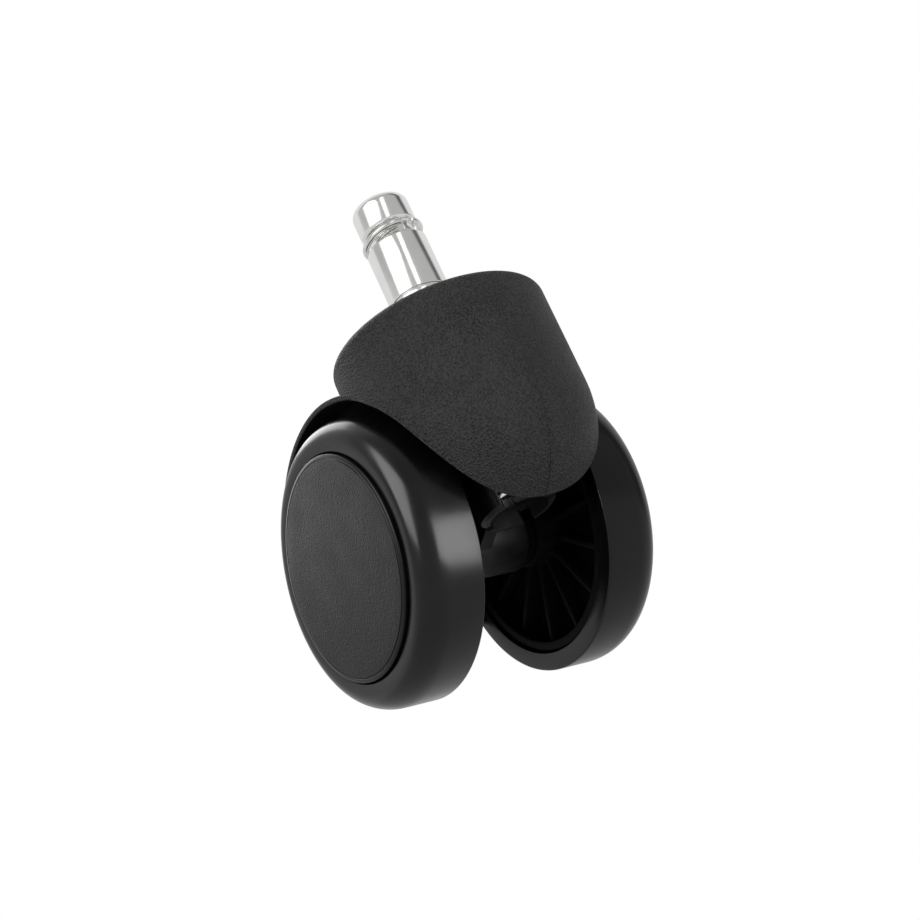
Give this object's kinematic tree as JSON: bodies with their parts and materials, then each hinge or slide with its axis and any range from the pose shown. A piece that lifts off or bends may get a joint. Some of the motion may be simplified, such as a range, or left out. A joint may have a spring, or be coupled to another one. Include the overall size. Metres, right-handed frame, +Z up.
{
  "type": "chair caster wheel",
  "caption": "Hooded twin-wheel swivel caster with a grip-ring stem, trailing axle, two free-turning wheels with round-shouldered tyres and textured cover discs.",
  "frame": {"origin": "on the stem's axis, level with the shoulder that the chair base rests on", "axes": "+Z up along the stem, +X towards the nose of the hood with the axle trailing at -X, +Y to the left wheel"},
  "size_m": [0.0671, 0.05, 0.0842],
  "materials": {
    "plated_steel": "bright plated, polished",
    "spring_steel": "bright spring steel",
    "axle_steel": "ground bright",
    "acetal": "smooth moulded, black",
    "textured_nylon": "fine spark-eroded grain, matt",
    "core_nylon": "smooth moulded, satin",
    "gloss_tread": "polished polyurethane",
    "textured_cap": "fine grain, satin"
  },
  "bodies": {
    "stem_body": {"stem": "plated_steel", "stem_collar": "plated_steel", "grip_ring": "spring_steel", "stem_clip": "spring_steel", "stem_washer": "spring_steel"},
    "swivel_body": {"socket_bush": "acetal", "housing": "textured_nylon", "axle": "axle_steel", "axle_washer_left": "acetal", "axle_washer_right": "acetal", "push_nut_left": "spring_steel", "push_nut_right": "spring_steel"},
    "left_wheel": {"hub_bush_left": "acetal", "wheel_core_left": "core_nylon", "tyre_left": "gloss_tread", "wheel_cap_left": "textured_cap"},
    "right_wheel": {"hub_bush_right": "acetal", "wheel_core_right": "core_nylon", "tyre_right": "gloss_tread", "wheel_cap_right": "textured_cap"}
  },
  "joints": [
    {"name": "swivel", "type": "hinge", "parent": "stem_body", "child": "swivel_body", "pos_m": [0, 0, 0], "axis": [0, 0, 1], "continuous": true},
    {"name": "left_wheel_spin", "type": "hinge", "parent": "swivel_body", "child": "left_wheel", "pos_m": [-0.0187, 0.0183, -0.0372], "axis": [0, 1, 0], "continuous": true},
    {"name": "right_wheel_spin", "type": "hinge", "parent": "swivel_body", "child": "right_wheel", "pos_m": [-0.0187, -0.0183, -0.0372], "axis": [0, 1, 0], "continuous": true}
  ]
}
